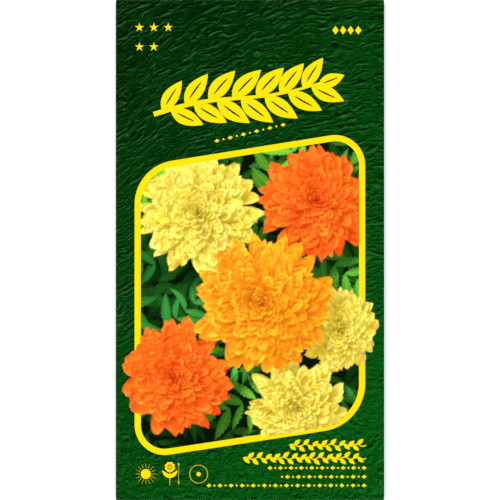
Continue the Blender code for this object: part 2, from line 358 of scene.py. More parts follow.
# The green of the outside: a picture of crinkled leather, darker towards the top left, printed under a
# satin coat. Its long creases rise steeply at the left and run nearly level at the right, and towards the
# bottom they give way to short crinkles that run every way. The coat is worn a little along the folds.
GROUND_TOP = (
    # how light a crease is there, from 0 to 1, and the printed colour
    (0.00, (0.0000, 0.0020, 0.0000)),
    (0.30, (0.0000, 0.0085, 0.0000)),
    (0.55, (0.0002, 0.0235, 0.0004)),
    (0.78, (0.0045, 0.0480, 0.0075)),
    (1.00, (0.0200, 0.0860, 0.0265)),
)
GROUND_LOW = (
    (0.06, (0.0000, 0.0065, 0.0000)),
    (0.26, (0.0000, 0.0310, 0.0008)),
    (0.43, (0.0004, 0.0740, 0.0030)),
    (0.60, (0.0020, 0.0900, 0.0060)),
    (1.00, (0.0120, 0.1200, 0.0200)),
)
CREASE_RISE = 0.32  # how steeply the long creases rise to the right, at the middle of the packet
CREASE_BEND = 0.0034  # how soon they level out, for each mm further right
CREASE_SWAY = 5.0  # how far they wander, in mm
CREASE = {
    "size": (7.5, 1.86, 1.3),  # one crease's length and breadth, in mm
    "light": (-0.10, 0.34, 0.0),  # towards the light that the relief was drawn with, in mm
    "detail": 2.8,
    "rough": 0.55,
    "valley": 0.030,  # how near its lowest line a crease turns dark
    "dark": 0.040,  # and how dark
}
CRINKLE = {
    "size": (3.3, 2.4, 1.2),
    "light": (-0.12, 0.26, 0.0),
    "detail": 3.0,
    "rough": 0.55,
    "valley": 0.024,
    "dark": 0.060,
}
CRINKLE_PLACE = (40.0, 0, 0)  # so far off in the noise that they don't repeat the creases
CRINKLES_START, CRINKLES_ONLY = -22.0, -52.0  # how high up, in mm, the creases begin to give way and end
LIGHTER_RIGHT, LIGHTER_DOWN = 0.0048, 0.0055  # how much lighter the ground is for each mm further
PRINT_COAT = (0.34, 0.04)  # the roughness and the mirror of the coat over the print
# Where the coat dulls and where the print wears off: from how many mm inside the rim to how many, at a
# long edge and at an end.
RUBBED = ((0.55, 0.25), (0.75, 0.35))
WORN = ((0.07, 0.01), (0.07, 0.01))
WORN_PAPER = (0.26, 0.33, 0.23, 1)


def reckoned(tree, operation, *values):
    """One step of arithmetic on one, two or three values."""
    return put(tree, "ShaderNodeMath", dict(enumerate(values)), operation=operation).outputs[0]


def parts_of(tree, place):
    """A point's x, y and z."""
    return put(tree, "ShaderNodeSeparateXYZ", {0: place}).outputs


def point_of(tree, x=0.0, y=0.0, z=0.0):
    """The point at x, y and z."""
    return put(tree, "ShaderNodeCombineXYZ", {0: x, 1: y, 2: z}).outputs[0]


def printed_relief(tree, place, size, light, detail, rough, valley, dark):
    """How light a printed crease is: by its slope towards the light, less the dark line in its valley."""
    depths = []
    for aside in ((0, 0, 0), light):
        sized = reckoned_point(tree, "DIVIDE", reckoned_point(tree, "ADD", place, aside), size)
        swell = reckoned(tree, "SUBTRACT", speckle(tree, sized, 1.0, detail, rough), 0.5)
        depths.append(reckoned(tree, "ABSOLUTE", swell))
    slope = reckoned(tree, "SUBTRACT", depths[1], depths[0])
    return reckoned(tree, "ADD", slope, ranged(tree, depths[0], 0.0, valley, -dark, 0.0))


def through_colours(tree, value, stops):
    """A colour picked along a row of stops, each a place from 0 to 1 and its colour."""
    ramp = put(tree, "ShaderNodeValToRGB", {"Fac": value})
    made = ramp.color_ramp.elements
    made.remove(made[0])
    made[0].position, made[0].color = stops[0][0], (*stops[0][1], 1)
    for position, colour in stops[1:]:
        made.new(position).color = (*colour, 1)
    return ramp.outputs["Color"]


def near_folds(tree, place, bands):
    """How far a point has crossed the band along a fold, from 0 to 1: at a long edge or at an end."""
    crossed = []
    for part, rim, (start, end) in zip(parts_of(tree, place), (WIDTH / 2, HEIGHT / 2), bands):
        out = reckoned(tree, "ABSOLUTE", part)
        crossed.append(ranged(tree, out, rim / MM - start, rim / MM - end))
    return reckoned(tree, "MAXIMUM", *crossed)


def embossed(tree, shader, height, strength, distance):
    """Gives a surface a fine relief."""
    relief = {"Strength": strength, "Distance": distance, "Height": height}
    tree.links.new(put(tree, "ShaderNodeBump", relief).outputs["Normal"], shader.inputs["Normal"])


def paper_grain(tree, shader, place, strength):
    """The paper's own faint tooth, felt through coat and ink. The coat is rubbed dull along the folds."""
    fibres = speckle(tree, place, 3.2, 3.0, 0.6)
    cockle = speckle(tree, place, 0.16, 1.0, 0.4)
    height = reckoned(tree, "MULTIPLY_ADD", cockle, 6.0, fibres)
    embossed(tree, shader, height, strength, 0.01 * MM)
    sheen = ranged(tree, speckle(tree, place, 0.6, 3.0, 0.6), 0.3, 0.7, 0.30, 0.38)
    sheen = reckoned(tree, "MULTIPLY_ADD", near_folds(tree, place, RUBBED), 0.40, sheen)
    tree.links.new(sheen, shader.inputs["Roughness"])


printed_ground, tree, shader = satin_surface("printed_green_ground", *PRINT_COAT)
place = in_mm(tree)
across, up, _ = parts_of(tree, place)
warp = put(tree, "ShaderNodeTexNoise", {"Vector": place, "Scale": 0.13, "Detail": 2.0}).outputs["Color"]
swing = reckoned_point(tree, "ADD", warp, (-0.5, -0.5, -0.5))
wavy = reckoned_point(tree, "ADD", place, reckoned_point(tree, "SCALE", swing, CREASE_SWAY))
slope = reckoned(tree, "MULTIPLY_ADD", across, -CREASE_BEND, CREASE_RISE)
level = reckoned_point(tree, "SUBTRACT", wavy, point_of(tree, y=reckoned(tree, "MULTIPLY", across, slope)))
creases = printed_relief(tree, level, **CREASE)
crinkles = printed_relief(tree, reckoned_point(tree, "ADD", wavy, CRINKLE_PLACE), **CRINKLE)
relief = blend(tree, ranged(tree, up, CRINKLES_START, CRINKLES_ONLY), creases, crinkles)
patches = ranged(tree, speckle(tree, place, 0.35, 2.0), 0.35, 0.65, 0.75, 1.25)  # bolder and fainter
relief = ranged(tree, reckoned(tree, "MULTIPLY", relief, patches), -0.10, 0.10)
lighter = reckoned(tree, "MULTIPLY_ADD", up, -LIGHTER_DOWN, 0.50)
lighter = reckoned(tree, "MULTIPLY_ADD", across, LIGHTER_RIGHT, lighter)
drift = ranged(tree, speckle(tree, place, 0.05, 2.0), 0.3, 0.7, -0.10, 0.10)
lighter = ranged(tree, reckoned(tree, "ADD", lighter, drift), 0.0, 1.0)
top_green = through_colours(tree, relief, GROUND_TOP)
ground = blend(tree, lighter, top_green, through_colours(tree, relief, GROUND_LOW))
scuffs = ranged(tree, speckle(tree, place, 1.1, 4.0, 0.7), 0.50, 0.68)
worn = reckoned(tree, "MULTIPLY", near_folds(tree, place, WORN), scuffs)
ground = blend(tree, reckoned(tree, "MULTIPLY", worn, 0.28), ground, WORN_PAPER)
tree.links.new(ground, shader.inputs["Base Color"])
paper_grain(tree, shader, place, 0.5)

bare_paper, tree, shader = satin_surface("bare_paper", 0.8, 0.25)
place = in_mm(tree)
flecks = ranged(tree, speckle(tree, place, 1.7, 4.0, 0.65), 0.3, 0.7)
white = blend(tree, flecks, (0.74, 0.73, 0.68, 1), (0.83, 0.82, 0.78, 1))
through = ranged(tree, speckle(tree, place, 0.3, 3.0), 0.35, 0.75, 0.0, 0.14)
white = blend(tree, through, white, (0.50, 0.62, 0.48, 1))
tree.links.new(white, shader.inputs["Base Color"])
paper_grain(tree, shader, place, 1.0)
tree.links.new(ranged(tree, flecks, 0, 1, 0.74, 0.86), shader.inputs["Roughness"])

sheet_data.materials.append(printed_ground)
sheet_data.materials.append(bare_paper)
sheet_data.shade_smooth()
sheet_object = in_scene("sheet", sheet_data)
solid = sheet_object.modifiers.new("paper_thickness", "SOLIDIFY")
solid.thickness = PAPER
solid.offset = 0
solid.use_even_offset = True
solid.material_offset = 1
solid.material_offset_rim = 1

SHARP = math.radians(50)  # two faces that meet more steeply than this show their edge


def plain_mesh(worn_object, name):
    """What an object's modifiers make, as a plain mesh in a new object. The old object goes."""
    graph = bpy.context.evaluated_depsgraph_get()
    data = bpy.data.meshes.new_from_object(worn_object.evaluated_get(graph))
    data.name = name
    data.shade_smooth()
    data.set_sharp_from_angle(angle=SHARP)
    bpy.data.objects.remove(worn_object)
    return in_scene(name, data)


packet_paper = plain_mesh(sheet_object, "packet_paper_printed")
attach(packet_paper, "root")
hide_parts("packet_paper")

# How the print lies on the paper. Each printed shape is a film of ink a few hundredths of a millimetre
# thick. It is cut out flat, filled with small triangles, and let down on the paper it is printed on, so
# it follows every pucker.
FILM = 0.014 * MM
PICTURE_LIFT = 0.008 * MM
BLOSSOM_LIFT = 0.022 * MM
BLOSSOM_STEP = 0.002 * MM  # each blossom's film lies this much higher than the one before
FALL = 60 * MM  # how far a shape looks for the paper, starting half as far off
LAYING = {"Paper": "Object", "Lift": "Float", "Side": "Float", "Ink": "Material"}


def start_tree(name, **kinds):
    """A new tree that takes and gives a mesh, and what it is given: the mesh and the named inputs."""
    tree = bpy.data.node_groups.new(name, "GeometryNodeTree")
    for label, kind in {"Geometry": "Geometry", **kinds}.items():
        tree.interface.new_socket(label, in_out="INPUT", socket_type=f"NodeSocket{kind}")
    tree.interface.new_socket("Geometry", in_out="OUTPUT", socket_type="NodeSocketGeometry")
    return tree, put(tree, "NodeGroupInput", {}).outputs


def end_tree(tree, geometry, material):
    """Makes the result one mesh in one material, and gives it out."""
    whole = put(tree, "GeometryNodeRealizeInstances", {"Geometry": geometry}).outputs[0]
    coated = put(tree, "GeometryNodeSetMaterial", {"Geometry": whole, "Material": material}).outputs[0]
    put(tree, "NodeGroupOutput", {"Geometry": coated})
    return tree


def lay_tree():
    """Lets a flat shape down on the paper: on its front from above, on its back from below."""
    tree, given = start_tree("lay_ink_on_paper", **LAYING)
    paper = put(tree, "GeometryNodeObjectInfo", {"Object": given["Paper"]}).outputs["Geometry"]
    across, up, high = parts_of(tree, put(tree, "GeometryNodeInputPosition", {}).outputs[0])
    fall = put(tree, "GeometryNodeRaycast", {
        "Target Geometry": paper,
        "Source Position": point_of(tree, across, up, reckoned(tree, "MULTIPLY", given["Side"], FALL / 2)),
        "Ray Direction": point_of(tree, z=reckoned(tree, "MULTIPLY", given["Side"], -1.0)),
        "Ray Length": FALL,
    })
    surface = parts_of(tree, fall.outputs["Hit Position"])[2]
    proud = reckoned(tree, "ADD", high, given["Lift"])
    lying = reckoned(tree, "MULTIPLY_ADD", proud, given["Side"], surface)
    laid = {"Geometry": given["Geometry"], "Position": point_of(tree, across, up, lying)}
    return end_tree(tree, put(tree, "GeometryNodeSetPosition", laid).outputs[0], given["Ink"])


lay_ink = lay_tree()


def grow(name, data, tree, **given):
    """Runs a tree on a mesh with its named inputs, and returns the result as a plain piece."""
    carrier = in_scene(name + "_carrier", data)
    maker = carrier.modifiers.new("maker", "NODES")
    maker.node_group = tree
    for item in tree.interface.items_tree:
        if item.in_out == "INPUT" and item.name in given:
            maker[item.identifier] = given[item.name]
    return plain_mesh(carrier, name)


def print_piece(name, data, tree, ink, lift, side=1, **given):
    """Lays a film on the packet by a tree, as print. One laid from below is turned outside out."""
    made = grow(name, data, tree, Paper=packet_paper, Lift=lift, Side=float(side), Ink=ink, **given)
    if side < 0:
        made.data.flip_normals()
    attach(made, "root")


def at(across, down):
    """The place on the packet of a pixel of the photograph."""
    return np.array([(across - 250) * PIXEL, (250 - down) * PIXEL])


def inside(loops, spots):
    """Which spots lie inside an outline of one or more closed loops. A loop in a loop is a hole."""
    odd = np.zeros(len(spots), bool)
    x, y = spots[:, 0], spots[:, 1]
    for loop in loops:
        for (x0, y0), (x1, y1) in zip(loop.tolist(), np.roll(loop, -1, 0).tolist()):
            if y0 != y1:
                crosses = (y0 > y) != (y1 > y)
                odd ^= crosses & (x < x0 + (y - y0) * (x1 - x0) / (y1 - y0))
    return odd


def even_steps(loop, step):
    """The same closed loop with its long edges split, so that no two points are more than step apart."""
    made = []
    for here, there in zip(loop, np.roll(loop, -1, 0)):
        parts = max(1, math.ceil(np.linalg.norm(there - here) / step))
        made += [here + (there - here) * i / parts for i in range(parts)]
    return np.array(made)


def inner_spots(loops, step, wanted=None):
    """Spots in staggered rows inside an outline, clear of its edge."""
    edge = np.concatenate([even_steps(loop, step / 2) for loop in loops])
    low, high = edge.min(0), edge.max(0)
    across, up = np.meshgrid(
        np.arange(low[0], high[0], step), np.arange(low[1], high[1], step * math.sqrt(0.75))
    )
    across[1::2] += step / 2
    spots = np.stack([across.ravel(), up.ravel()], 1)
    spots = spots[inside(loops, spots)]
    if wanted is not None:
        spots = spots[wanted(spots)]
    rim = KDTree(len(edge))
    for i, (x, y) in enumerate(edge.tolist()):
        rim.insert((x, y, 0), i)
    rim.balance()
    clear = [rim.find((x, y, 0))[2] > 0.6 * step for x, y in spots.tolist()]
    return spots[np.array(clear, bool)] if len(spots) else spots


def filled(loops, spots):
    """Triangles over the loops' points and the spots inside them, facing up, and the loops' edges.

    Spread from the outermost triangles inwards, each crossing of a loop goes into or out of the shape.
    """
    points = np.concatenate([*loops, spots]) if len(spots) else np.concatenate(loops)
    edges, first = [], 0
    for loop in loops:
        edges += [(first + i, first + (i + 1) % len(loop)) for i in range(len(loop))]
        first += len(loop)
    found = delaunay_2d_cdt([Vector(point) for point in points.tolist()], edges, [], 0, 1e-10, True)
    given = [source[0] for source in found[3]]
    faces = [tuple(given[i] for i in face) for face in found[2]]
    edges = {*edges, *((b, a) for a, b in edges)}
    owner = {}
    for number, (a, b, c) in enumerate(faces):
        owner[a, b] = owner[b, c] = owner[c, a] = number
    within = {owner[a, b]: (a, b) in edges for a, b in owner if (b, a) not in owner}
    ahead = list(within)
    while ahead:
        number = ahead.pop()
        a, b, c = faces[number]
        for edge in ((a, b), (b, c), (c, a)):
            beyond = owner.get(edge[::-1])
            if beyond is not None and beyond not in within:
                within[beyond] = within[number] != (edge in edges)
                ahead.append(beyond)
    rim = [edge for edge in edges if edge in owner and within[owner[edge]]]
    return points, [face for number, face in enumerate(faces) if within[number]], rim


def film(name, loops, step, spots=None, under_step=None):
    """A closed flat film of ink with an outline of loops. Its top lies at 0, its underside a film lower."""
    loops = [even_steps(np.asarray(loop, float), step) for loop in loops]
    top, top_faces, rim = filled(loops, inner_spots(loops, step) if spots is None else spots)
    under, under_faces, _ = filled(loops, inner_spots(loops, under_step or 2 * step))
    flat = np.zeros((len(top) + len(under), 3))
    flat[: len(top), :2] = top
    flat[len(top) :, :2] = under
    flat[len(top) :, 2] = -FILM
    low = len(top)
    faces = [*top_faces, *((c + low, b + low, a + low) for a, b, c in under_faces)]
    faces += [(a + low, b + low, b, a) for a, b in sorted(rim)]
    data = bpy.data.meshes.new(name)
    data.from_pydata(flat.tolist(), [], faces)
    data.update()
    return data


# The printed picture of a bunch of flowers. It is a generic bunch: dense blossoms of small overlapping
# petals in orange, red-orange and pale yellow, over sprays of narrow leaves. It is modelled petal by petal
# and seen from straight above at each point of the ink, in its own sun and shade. Only that print stays.
GOLDEN_TURN = math.radians(137.508)
BUNCH_SUN = Vector((-0.42, 0.50, 0.95)).normalized()
SKY_HIGH = 80  # how high a look down at the bunch starts, in mm
DOWN = Vector((0, 0, -1))
PETAL_POINTS = (13, 9)  # along it and across it
LEAF_POINTS = (25, 5)
LEAF_LEVELS = (
    # how many sprays, and how deep they lie at most and at least, in mm
    (34, -19, -14),
    (34, -13, -8),
    (17, -7, -3),
)
LEAF_DARK, LEAF_LIGHT = -21, -1  # how deep, in mm, a leaf is at its darkest and at its lightest
BLOSSOMS = (
    # its ink, its place and radius in pixels, how many petals, how broad and how frilled, which way it
    # leans and by how much in degrees, how high it stands, and whether it is printed over the border
    ("pale", (201, 217), 61, 230, 0.34, 0.14, 120, 12, 1.5 * MM, False),
    ("flame", (313, 204), 57, 210, 0.35, 0.11, 40, 14, -1.0 * MM, False),
    ("orange", (263, 302), 70, 270, 0.33, 0.12, 250, 5, 6.5 * MM, False),
    ("pale", (336, 330), 43, 180, 0.35, 0.14, 350, 20, -3.0 * MM, True),
    ("flame", (178, 376), 57, 220, 0.35, 0.11, 200, 14, 1.0 * MM, True),
    ("pale", (296, 404), 49, 200, 0.35, 0.14, 290, 16, -1.0 * MM, False),
)
PETAL_INKS = {
    # the colour in middling light, how fast each of red, green and blue falls with less of it, and by
    # what share each differs from petal to petal
    "orange": ((0.90, 0.275, 0.0085), (0.80, 1.15, 1.6), (0.0, 0.13, 0.2)),
    "flame": ((0.88, 0.115, 0.0085), (0.80, 1.35, 1.6), (0.0, 0.18, 0.2)),
    "pale": ((0.79, 0.580, 0.064), (1.10, 1.15, 2.1), (0.03, 0.03, 0.22)),
}
LEAF_INK = ((0.105, 0.46, 0.055), (1.25, 0.95, 1.1), (0.55, 0.10, -0.35))
GAP_INK = (0.0009, 0.006, 0.0009)
LEAF_OWNER = len(BLOSSOMS)


def as_strips(points, owner, along, aside, tone, hue):
    """Petals or leaves as one mesh: its points, their normals, what they are marked with, its faces."""
    count, rows, columns = points.shape[:3]
    normal = np.cross(np.gradient(points, axis=1), np.gradient(points, axis=2))
    normal /= np.maximum(np.linalg.norm(normal, axis=-1, keepdims=True), 1e-15)
    normal[:, -1], normal[:, 0] = normal[:, -2], normal[:, 1]
    normal *= np.where(normal[..., 2:] < 0, -1, 1)
    marks = np.stack(np.broadcast_arrays(float(owner), along, aside, tone, hue), -1)
    number = np.arange(count * rows * columns).reshape(count, rows, columns)
    a, b = number[:, :-1, :-1].ravel(), number[:, :-1, 1:].ravel()
    c, d = number[:, 1:, 1:].ravel(), number[:, 1:, :-1].ravel()
    faces = np.concatenate([np.stack([a, b, c], 1), np.stack([a, c, d], 1)])
    return points.reshape(-1, 3), normal.reshape(-1, 3), marks.reshape(-1, 5), faces


def tilted(points, towards, tilt):
    """Points leant towards a direction."""
    ax, ay = -math.sin(towards), math.cos(towards)
    c, s = math.cos(tilt), math.sin(tilt)
    rows = (
        (c + ax * ax * (1 - c), ax * ay * (1 - c), ay * s),
        (ax * ay * (1 - c), c + ay * ay * (1 - c), -ax * s),
        (-ay * s, ax * s, c),
    )
    return points @ np.array(rows).T


def blossom(owner, place, radius, petals, breadth, frill, towards, tilt, height):
    """A full blossom. Its petals turn by the golden angle, the outermost first, and overlap like tiles."""
    draw = np.random.default_rng(11 + owner)

    def each(values):
        return np.asarray(values)[:, None, None]

    # Of each petal, counted inwards: its turn, how far out its tip and root are, its size and height.
    share = (np.arange(petals) + 0.5) / petals
    turn = np.arange(petals) * GOLDEN_TURN + draw.normal(0, 0.10, petals)
    reach = radius * np.maximum((1 - share) ** 0.66, 0.05) * draw.normal(1, 0.03, petals)
    root = 0.10 * radius * (1 - share)
    length = reach - root
    width = breadth * radius * (reach / radius) ** 0.42 * draw.normal(1, 0.08, petals)
    bottom = 0.34 * radius * share
    top = radius * (0.10 + 0.50 * (1 - (reach / radius) ** 2)) * draw.normal(1, 0.04, petals)
    # Over each petal, closer together towards its tip: its outline, with shallow notches in the tip.
    along = 1 - (1 - np.linspace(0, 1, PETAL_POINTS[0])[None, :, None]) ** 1.6
    aside = np.linspace(-1, 1, PETAL_POINTS[1])[None, None, :]
    outline = (0.22 + 0.78 * along**0.8) * np.sqrt(np.maximum(0, 1 - along**5))
    notches = np.cos(3 * math.pi * aside + each(draw.uniform(0, 2 * math.pi, petals)))
    out = each(root) + each(length) * along * (1 - 0.07 * along**6 * notches)
    across = aside * each(width) / 2 * outline
    # Its height, cupped and frilled, with a tip that curls down. It swings a little aside, and so it lies.
    wave = np.sin(2.2 * math.pi * aside + each(draw.uniform(0, 2 * math.pi, petals)) + 2 * along)
    z = each(bottom) + each(top - bottom) * along**1.35 + 0.10 * each(length) * np.sin(math.pi * along)
    z = z + each(width) * (0.30 * aside**2 * along + frill * wave * along**2)
    curl = 3 * each(length * draw.uniform(0.25, 0.9, petals))
    z = z - curl * np.maximum(0, along - 0.78) ** 2 + each(draw.normal(0, 0.12, petals)) * across
    turned = each(turn) + 0.10 * each(draw.normal(0, 1, petals)) * along**2
    x = out * np.cos(turned) - across * np.sin(turned)
    y = out * np.sin(turned) + across * np.cos(turned)
    points = tilted(np.stack(np.broadcast_arrays(x, y, z), -1), math.radians(towards), math.radians(tilt))
    points += np.array([*place, height])
    tone, hue = each(draw.normal(0, 1, petals)), each(draw.normal(0, 1, petals))
    return as_strips(points, owner, along, aside, tone, hue)


def leaf_sprays(owner):
    """Sprays of narrow leaves below the blossoms. Each has pairs of toothed leaves along a stem."""
    draw = np.random.default_rng(29)
    leaves = []
    for level, (count, low, high) in enumerate(LEAF_LEVELS):
        for _ in range(count):
            x, y = at(draw.uniform(120, 380), draw.uniform(120, 460))
            z, stem = draw.uniform(low, high) * MM, draw.uniform(0, 2 * math.pi)
            pairs, step = int(draw.integers(3, 6)), draw.uniform(3.2, 4.4) * MM
            rise, tone = draw.uniform(0.0, 0.25), level + draw.uniform(-0.4, 0.4)
            hue = draw.uniform(-0.8, 1.6) if level else 0.0
            for i in range(2 * pairs + 1):
                out, hand = (i // 2) * step, (1 if i % 2 else -1)
                lean = 0 if i == 2 * pairs else hand * draw.uniform(0.65, 1.0)
                length = draw.uniform(7.0, 10.5) * MM * (1.15 if i == 2 * pairs else 1)
                foot = (x + out * math.cos(stem), y + out * math.sin(stem), z + out * rise)
                breadth = draw.uniform(0.24, 0.34) * length
                tone += draw.uniform(-0.1, 0.1)
                leaves.append((*foot, stem + lean, length, breadth, rise, tone, hue))
    leaves = np.array(leaves)
    x0, y0, z0, azimuth, length, width, rise, tone, hue = (column[:, None, None] for column in leaves.T)
    along = np.linspace(0, 1, LEAF_POINTS[0])[None, :, None]
    aside = np.linspace(-1, 1, LEAF_POINTS[1])[None, None, :]
    teeth = (along * 8) % 1.0 - 0.5
    half = width / 2 * np.sin(math.pi * along**0.8) ** 0.85 * (1 + 0.34 * teeth * np.abs(aside))
    bend = draw.normal(0, 0.35, len(leaves))[:, None, None] * (along - 0.3)
    z = z0 + length * (rise * along - 0.30 * along**2) + 0.25 * half * np.abs(aside)
    x = x0 + length * along * np.cos(azimuth + bend) - half * aside * np.sin(azimuth + bend)
    y = y0 + length * along * np.sin(azimuth + bend) + half * aside * np.cos(azimuth + bend)
    return as_strips(np.stack(np.broadcast_arrays(x, y, z), -1), owner, along, aside, tone, hue)


grown = [
    blossom(number, at(*place), radius * PIXEL, *shape)
    for number, (_, place, radius, *shape, _) in enumerate(BLOSSOMS)
]
grown.append(leaf_sprays(LEAF_OWNER))
starts = np.cumsum([0] + [len(part[0]) for part in grown])
bunch_points, bunch_normals, bunch_marks = (np.concatenate([part[i] for part in grown]) for i in range(3))
bunch_faces = np.concatenate([part[3] + first for part, first in zip(grown, starts)])
# It is looked at in millimetres, so that its small faces aren't lost to rounding.
bunch = BVHTree.FromPolygons((bunch_points / MM).tolist(), bunch_faces.tolist(), all_triangles=True)


def seen_from_above(spots, sun_draw):
    """The bunch's face under each spot, the point on it, and whether the sun reaches it."""
    face = np.full(len(spots), -1)
    where = np.zeros((len(spots), 3))
    lit = np.zeros(len(spots))
    suns = (np.array(BUNCH_SUN) + sun_draw.normal(0, 0.09, (len(spots), 3))).tolist()
    for i, (x, y) in enumerate((spots / MM).tolist()):
        place, normal, found, _ = bunch.ray_cast(Vector((x, y, SKY_HIGH)), DOWN)
        if found is not None:
            face[i] = found
            where[i] = place
            start = place + normal * (0.06 if normal.z > 0 else -0.06)
            lit[i] = bunch.ray_cast(start, Vector(suns[i]))[2] is None
    return face, where * MM, lit


def in_light(ink, light, hue):
    """An ink's colour in so much light, on petals or leaves that differ in hue."""
    colour, fall, swing = (np.array(part) for part in ink)
    return colour * light[:, None] ** fall * np.maximum(0.2, 1 + hue[:, None] * swing)


def bunch_colours(spots, sun_draw):
    """The printed colour at each spot: what the bunch shows there."""
    face, where, lit = seen_from_above(spots, sun_draw)
    colours = np.tile(np.array(GAP_INK), (len(spots), 1))
    hit = face >= 0
    corners, point, lit = bunch_faces[face[hit]], where[hit] / MM, lit[hit]
    a, b, c = (bunch_points[corners[:, i]] / MM for i in range(3))
    whole = np.cross(b - a, c - a)
    size = np.maximum((whole * whole).sum(1), 1e-18)
    share_b = (np.cross(point - a, c - a) * whole).sum(1) / size
    share_c = (np.cross(b - a, point - a) * whole).sum(1) / size
    shares = np.clip(np.stack([1 - share_b - share_c, share_b, share_c], 1), 0, 1)[..., None]
    normal = (bunch_normals[corners] * shares).sum(1)
    normal /= np.maximum(np.linalg.norm(normal, axis=1, keepdims=True), 1e-9)
    _, along, aside, tone, hue = (bunch_marks[corners] * shares).sum(1).T
    owner = np.rint(bunch_marks[corners[:, 0], 0]).astype(int)
    facing = np.clip(normal @ np.array(BUNCH_SUN), 0, 1)
    made = np.zeros((len(owner), 3))
    for number, (ink, *_) in enumerate(BLOSSOMS):
        mine = owner == number
        bare = np.clip((along[mine] - 0.30) / 0.62, 0, 1)  # how far it stands out of the petals above
        light = 0.34 + 0.49 * bare + (0.08 + 0.66 * facing[mine]) * lit[mine] * (0.52 + 0.48 * bare)
        veins = 1 - 0.05 * np.cos(9 * math.pi * aside[mine]) ** 2
        light *= veins * (1 + 0.07 * tone[mine]) * (0.92 + 0.16 * smooth(0.84, 0.94, along[mine]))
        made[mine] = in_light(PETAL_INKS[ink], light, hue[mine])
    mine = owner == LEAF_OWNER
    depth = np.clip((point[mine, 2] - LEAF_DARK) / (LEAF_LIGHT - LEAF_DARK), 0, 1)
    light = (0.08 + 0.92 * depth**1.6) * (0.26 + lit[mine] * (0.12 + 0.95 * facing[mine]))
    light *= 1 + 0.35 * (np.abs(aside[mine]) < 0.13)  # the midrib
    light *= 0.70 + 0.36 * np.clip(tone[mine] / 2, 0, 1.2)
    made[mine] = in_light(LEAF_INK, light, hue[mine])
    colours[hit] = made
    return np.clip(colours, 0, 0.985)


LOOKS = 4  # how many times each point of ink looks at the bunch, a little aside
INK_STEP = 0.20 * MM


def around(turns, reach):
    """Points round the middle, each at its turn and so far out."""
    return np.stack([reach * np.cos(turns), reach * np.sin(turns)], 1)


def blossom_edge(number):
    """The outline of one blossom as it shows from above, found by looking inwards along many lines."""
    _, place, radius, *_ = BLOSSOMS[number]
    centre, reach = at(*place) / MM, radius * PIXEL / MM
    owners = bunch_marks[bunch_faces[:, 0], 0]

    def shows(turn, out):
        spot = Vector((centre[0] + out * math.cos(turn), centre[1] + out * math.sin(turn), SKY_HIGH))
        found = bunch.ray_cast(spot, DOWN)[2]
        return found is not None and round(owners[found]) == number

    edge = []
    turns = round_turns(int(2 * math.pi * reach / (INK_STEP / MM)))
    for turn in turns.tolist():
        out = 1.25 * reach
        while out > 0.3 * reach and not shows(turn, out):
            out -= 0.2
        for part in (0.1, 0.05, 0.025):
            out += part if shows(turn, out + part) else 0
        edge.append(out)
    edge = np.array(edge)
    edge = (edge + 0.5 * (np.roll(edge, 1) + np.roll(edge, -1))) / 2
    return (centre + around(turns, edge)) * MM


def leftward(ahead):
    """The way to the left of each way ahead."""
    return np.stack([-ahead[:, 1], ahead[:, 0]], 1)


def inset(corners, amount):
    """The corners of the same outline drawn further in. They go round to the left."""
    ahead = np.roll(corners, -1, 0) - corners
    ahead /= np.linalg.norm(ahead, axis=1, keepdims=True)
    start = corners + amount * leftward(ahead)
    made = []
    for p, d, q, e in zip(np.roll(start, 1, 0), np.roll(ahead, 1, 0), start, ahead):
        part = ((q - p)[0] * e[1] - (q - p)[1] * e[0]) / (d[0] * e[1] - d[1] * e[0])
        made.append(p + d * part)
    return np.array(made)


CORNER_POINTS = 15


def rounded(corners, radii, amount=0.0):
    """A closed loop round the corners, each rounded, drawn further in by an amount."""
    corners = inset(np.asarray(corners, float), amount)
    loop = []
    for before, here, after, radius in zip(np.roll(corners, 1, 0), corners, np.roll(corners, -1, 0), radii):
        back = (before - here) / np.linalg.norm(before - here)
        ahead = (after - here) / np.linalg.norm(after - here)
        half = math.acos(np.clip(back @ ahead, -1, 1)) / 2
        round_it = radius - amount
        middle = (back + ahead) / np.linalg.norm(back + ahead)
        centre = here + middle * round_it / math.sin(half)
        first = here + back * round_it / math.tan(half) - centre
        swing = math.pi - 2 * half
        for turn in np.linspace(0, swing, CORNER_POINTS):
            c, s = math.cos(turn), math.sin(turn)
            loop.append(centre + np.array([first[0] * c - first[1] * s, first[0] * s + first[1] * c]))
    return np.array(loop)


def slant(across, level, rise):
    """A place on one of the border's two slanting sides, which rise to the right."""
    return at(across, level - rise * (across - 250))


BORDER_LEFT, BORDER_RIGHT = 134.7, 365.1  # where its upright sides stand, in pixels
BORDER_FOOT, BORDER_HEAD = (442.1, 0.153), (148.4, 0.160)  # how far down at the middle, and its rise
BORDER_CORNERS = np.array([
    slant(BORDER_LEFT, *BORDER_FOOT),
    slant(BORDER_RIGHT, *BORDER_FOOT),
    slant(BORDER_RIGHT, *BORDER_HEAD),
    slant(BORDER_LEFT, *BORDER_HEAD),
])
BORDER_RADII = np.array([30, 48, 30, 44]) * PIXEL
BORDER_WIDTH = 6.2 * PIXEL
window = even_steps(rounded(BORDER_CORNERS, BORDER_RADII, BORDER_WIDTH / 2), 0.4 * MM)


def kept_inside(edge, centre, outline):
    """An edge round a centre, with what lies outside an outline drawn back to it."""
    near, far = np.zeros(len(edge)), np.ones(len(edge))
    out = ~inside([outline], edge)
    for _ in range(14):
        half = (near + far) / 2
        held = inside([outline], centre + (edge - centre) * half[:, None])
        near, far = np.where(held, half, near), np.where(held, far, half)
    return np.where(out[:, None], centre + (edge - centre) * near[:, None], edge)


